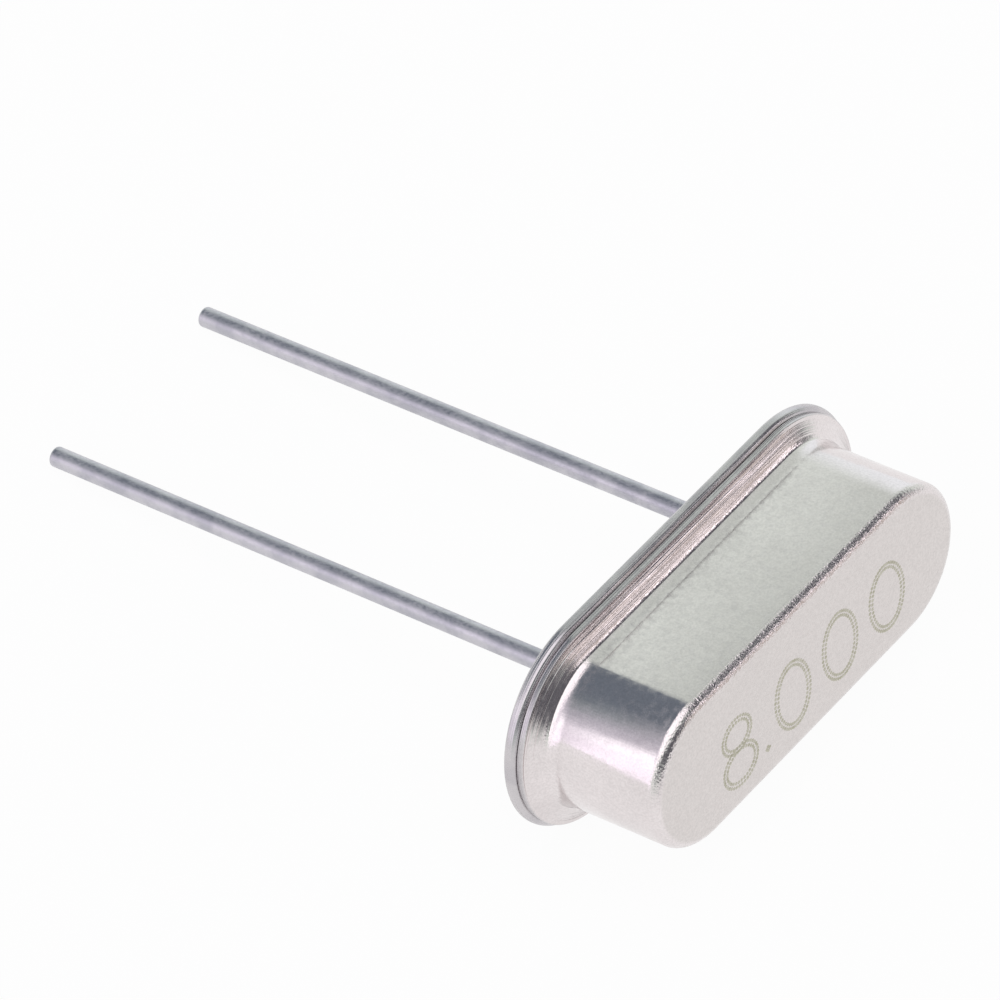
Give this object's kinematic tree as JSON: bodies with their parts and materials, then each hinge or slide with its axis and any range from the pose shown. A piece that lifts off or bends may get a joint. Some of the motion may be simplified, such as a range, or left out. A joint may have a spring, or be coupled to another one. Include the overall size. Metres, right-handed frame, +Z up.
{
  "type": "crystal oscillator",
  "caption": "Low-profile quartz crystal unit: a strip of quartz on spring clips inside a welded metal can with round ends, with two straight wire leads.",
  "frame": {"origin": "on the surface that the part lies on, under the middle of its box", "axes": "+X along the can's long side, from one lead to the other; +Y from the lid's face towards the lead tips; +Z up as it lies"},
  "size_m": [0.0112, 0.017, 0.0046],
  "materials": {
    "nickel_plated_can": "drawn steel can with satin nickel plate, faintly grained",
    "nickel_plated_base": "stamped steel with satin nickel plate and sheared rim",
    "seal_glass": "dark opaque sealing glass with a fired, glossy surface",
    "tinned_wire": "bright hot-tinned wire with fine draw lines",
    "clip_metal": "stamped spring alloy, bare and bright",
    "quartz": "clear quartz with finely lapped faces",
    "silver_film": "evaporated silver film",
    "silver_resin": "cured silver-filled resin, matt"
  },
  "bodies": {
    "root": {"can_lid": "nickel_plated_can", "header_base": "nickel_plated_base", "glass_seal_left": "seal_glass", "glass_seal_right": "seal_glass", "lead_left": "tinned_wire", "lead_right": "tinned_wire", "support_clip_left": "clip_metal", "support_clip_right": "clip_metal", "quartz_blank": "quartz", "upper_electrode": "silver_film", "lower_electrode": "silver_film", "silver_bond_left": "silver_resin", "silver_bond_right": "silver_resin"}
  },
  "joints": []
}
